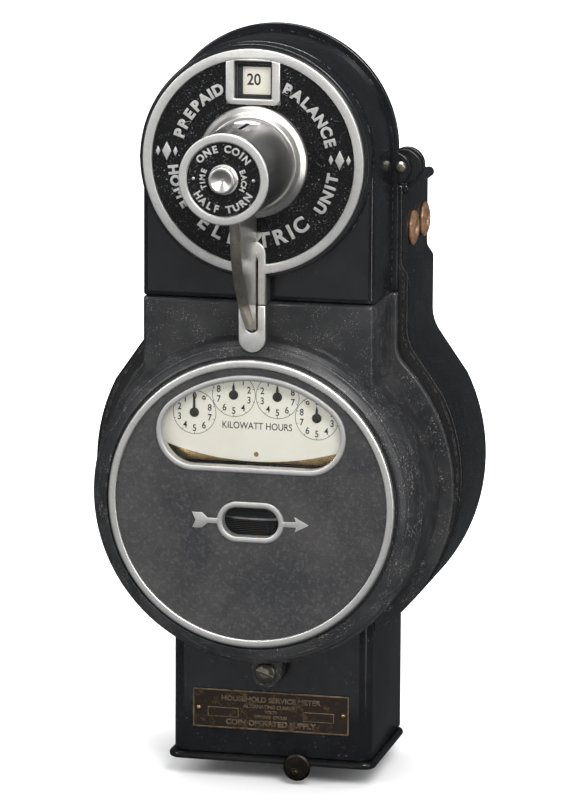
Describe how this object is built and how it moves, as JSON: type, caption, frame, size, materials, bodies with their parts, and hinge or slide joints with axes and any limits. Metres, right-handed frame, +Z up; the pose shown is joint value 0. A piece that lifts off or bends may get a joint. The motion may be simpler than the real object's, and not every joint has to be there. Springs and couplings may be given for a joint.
{
  "type": "prepaid electricity meter",
  "caption": "Wall-mounted antique coin-operated electricity meter: round glazed meter cover, arched coin housing with turning knob, coin chute, and lower coin box.",
  "frame": {"origin": "on the wall plane, on the axis of the round meter cover", "axes": "-Y is the front, facing the room; +Z is up; +X is the right of someone facing the meter"},
  "size_m": [0.199, 0.1963, 0.4026],
  "materials": {
    "black_enamel": "gloss black enamel over pressed steel, chipped at the edges",
    "cover_paint": "semi-matt black with fine speckle",
    "panel_black": "matt leather-grain black",
    "nickel": "brushed and polished nickel plate, lightly worn",
    "knob_nickel": "dark polished nickel",
    "bronze": "patinated bronze",
    "brass": "clean machined brass",
    "steel": "bright machined steel",
    "cast_black": "black painted casting",
    "copper_winding": "varnished copper wire",
    "dial_cream": "matt cream enamel",
    "dial_black": "black grained field for raised characters",
    "pointer_black": "satin black",
    "window_glass": "thin clear sheet glass",
    "rotor_alloy": "satin",
    "brown_fibre": "red-brown moulded insulating composition",
    "black_moulding": "black moulded insulation",
    "coin_drawer_paint": "gloss black enamel, bare bright metal at the rim corners"
  },
  "bodies": {
    "case": {"coin_horn": "nickel", "cover_ring": "nickel", "cover_screw": "bronze", "credit_glass": "window_glass", "credit_window_frame": "nickel", "current_coils": "copper_winding", "current_core": "cast_black", "disc_glass": "window_glass", "disc_window_frame": "nickel", "drag_magnets": "cast_black", "front_panel": "panel_black", "housing_back": "black_enamel", "inner_chute": "brass", "knob_bush": "brass", "knob_flare": "nickel", "lower_box": "black_enamel", "lower_chute_plate": "nickel", "main_cover": "cover_paint", "meter_frame": "cast_black", "nameplate": "bronze", "nameplate_pins": "bronze", "potential_coil": "copper_winding", "potential_core": "cast_black", "rear_base": "cover_paint", "register_dial": "dial_cream", "register_frame": "brass", "register_glass": "window_glass", "register_window_frame": "nickel", "rotor_bearings": "brass", "seal_pins": "brass", "switch_base": "black_moulding", "terminal_block": "black_moulding", "terminal_screws": "brass", "train_plate": "brass", "upper_dial_plate": "dial_black", "upper_housing": "black_enamel", "upper_ring": "nickel", "wire_bushings": "brown_fibre"},
    "knob": {"knob_barrel": "knob_nickel", "knob_face": "nickel", "knob_nut": "nickel", "knob_cap": "nickel", "knob_shaft": "steel"},
    "idler": {"idler_gear": "brass"},
    "credit": {"credit_dial": "dial_cream"},
    "rotor": {"rotor_disc": "rotor_alloy", "rotor_spindle": "steel"},
    "worm_wheel": {"worm_wheel": "brass"},
    "dial_4": {"dial_wheel_4": "brass", "pointer_4": "pointer_black"},
    "dial_3": {"dial_wheel_3": "brass", "pointer_3": "pointer_black"},
    "dial_2": {"dial_wheel_2": "brass", "pointer_2": "pointer_black"},
    "dial_1": {"dial_wheel_1": "brass", "pointer_1": "pointer_black"},
    "switch": {"switch_arm": "steel"},
    "coin_drawer": {"coin_drawer": "coin_drawer_paint", "drawer_tab": "bronze"}
  },
  "joints": [
    {"name": "knob_turn", "type": "hinge", "parent": "case", "child": "knob", "pos_m": [0, -0.16, 0.1786], "axis": [0, 1, 0], "range_deg": [0, 180]},
    {"name": "idler_turn", "type": "hinge", "parent": "case", "child": "idler", "pos_m": [0.0198, -0.109, 0.1588], "axis": [0, 1, 0], "range_deg": [-72, 0]},
    {"name": "credit_turn", "type": "hinge", "parent": "case", "child": "credit", "pos_m": [0, -0.118, 0.1786], "axis": [0, 1, 0], "range_deg": [0, 18]},
    {"name": "rotor_spin", "type": "hinge", "parent": "case", "child": "rotor", "pos_m": [0, -0.08, -0.0095], "axis": [0, 0, 1], "continuous": true},
    {"name": "worm_wheel_turn", "type": "hinge", "parent": "case", "child": "worm_wheel", "pos_m": [0.013, -0.08, 0.03257], "axis": [0, 1, 0], "continuous": true},
    {"name": "dial_4_turn", "type": "hinge", "parent": "case", "child": "dial_4", "pos_m": [0.03256, -0.11, 0.04515], "axis": [0, 1, 0], "continuous": true},
    {"name": "dial_3_turn", "type": "hinge", "parent": "case", "child": "dial_3", "pos_m": [0.01163, -0.11, 0.05528], "axis": [0, 1, 0], "continuous": true},
    {"name": "dial_2_turn", "type": "hinge", "parent": "case", "child": "dial_2", "pos_m": [-0.01163, -0.11, 0.05528], "axis": [0, 1, 0], "continuous": true},
    {"name": "dial_1_turn", "type": "hinge", "parent": "case", "child": "dial_1", "pos_m": [-0.03256, -0.11, 0.04515], "axis": [0, 1, 0], "continuous": true},
    {"name": "switch_swing", "type": "hinge", "parent": "case", "child": "switch", "pos_m": [-0.024, -0.0855, 0.2], "axis": [0, -1, 0], "range_deg": [0, 25]},
    {"name": "drawer_slide", "type": "slide", "parent": "case", "child": "coin_drawer", "axis": [0, 0, -1], "range_m": [0, 0.04]}
  ],
  "couplings": [
    {"joint": "idler_turn", "follows": "knob_turn", "ratio": -0.4},
    {"joint": "credit_turn", "follows": "knob_turn", "ratio": 0.1},
    {"joint": "worm_wheel_turn", "follows": "rotor_spin", "ratio": -0.025},
    {"joint": "dial_4_turn", "follows": "rotor_spin", "ratio": 0.0025},
    {"joint": "dial_3_turn", "follows": "rotor_spin", "ratio": -0.00025},
    {"joint": "dial_2_turn", "follows": "rotor_spin", "ratio": 0.000025},
    {"joint": "dial_1_turn", "follows": "rotor_spin", "ratio": -0.0000025}
  ]
}
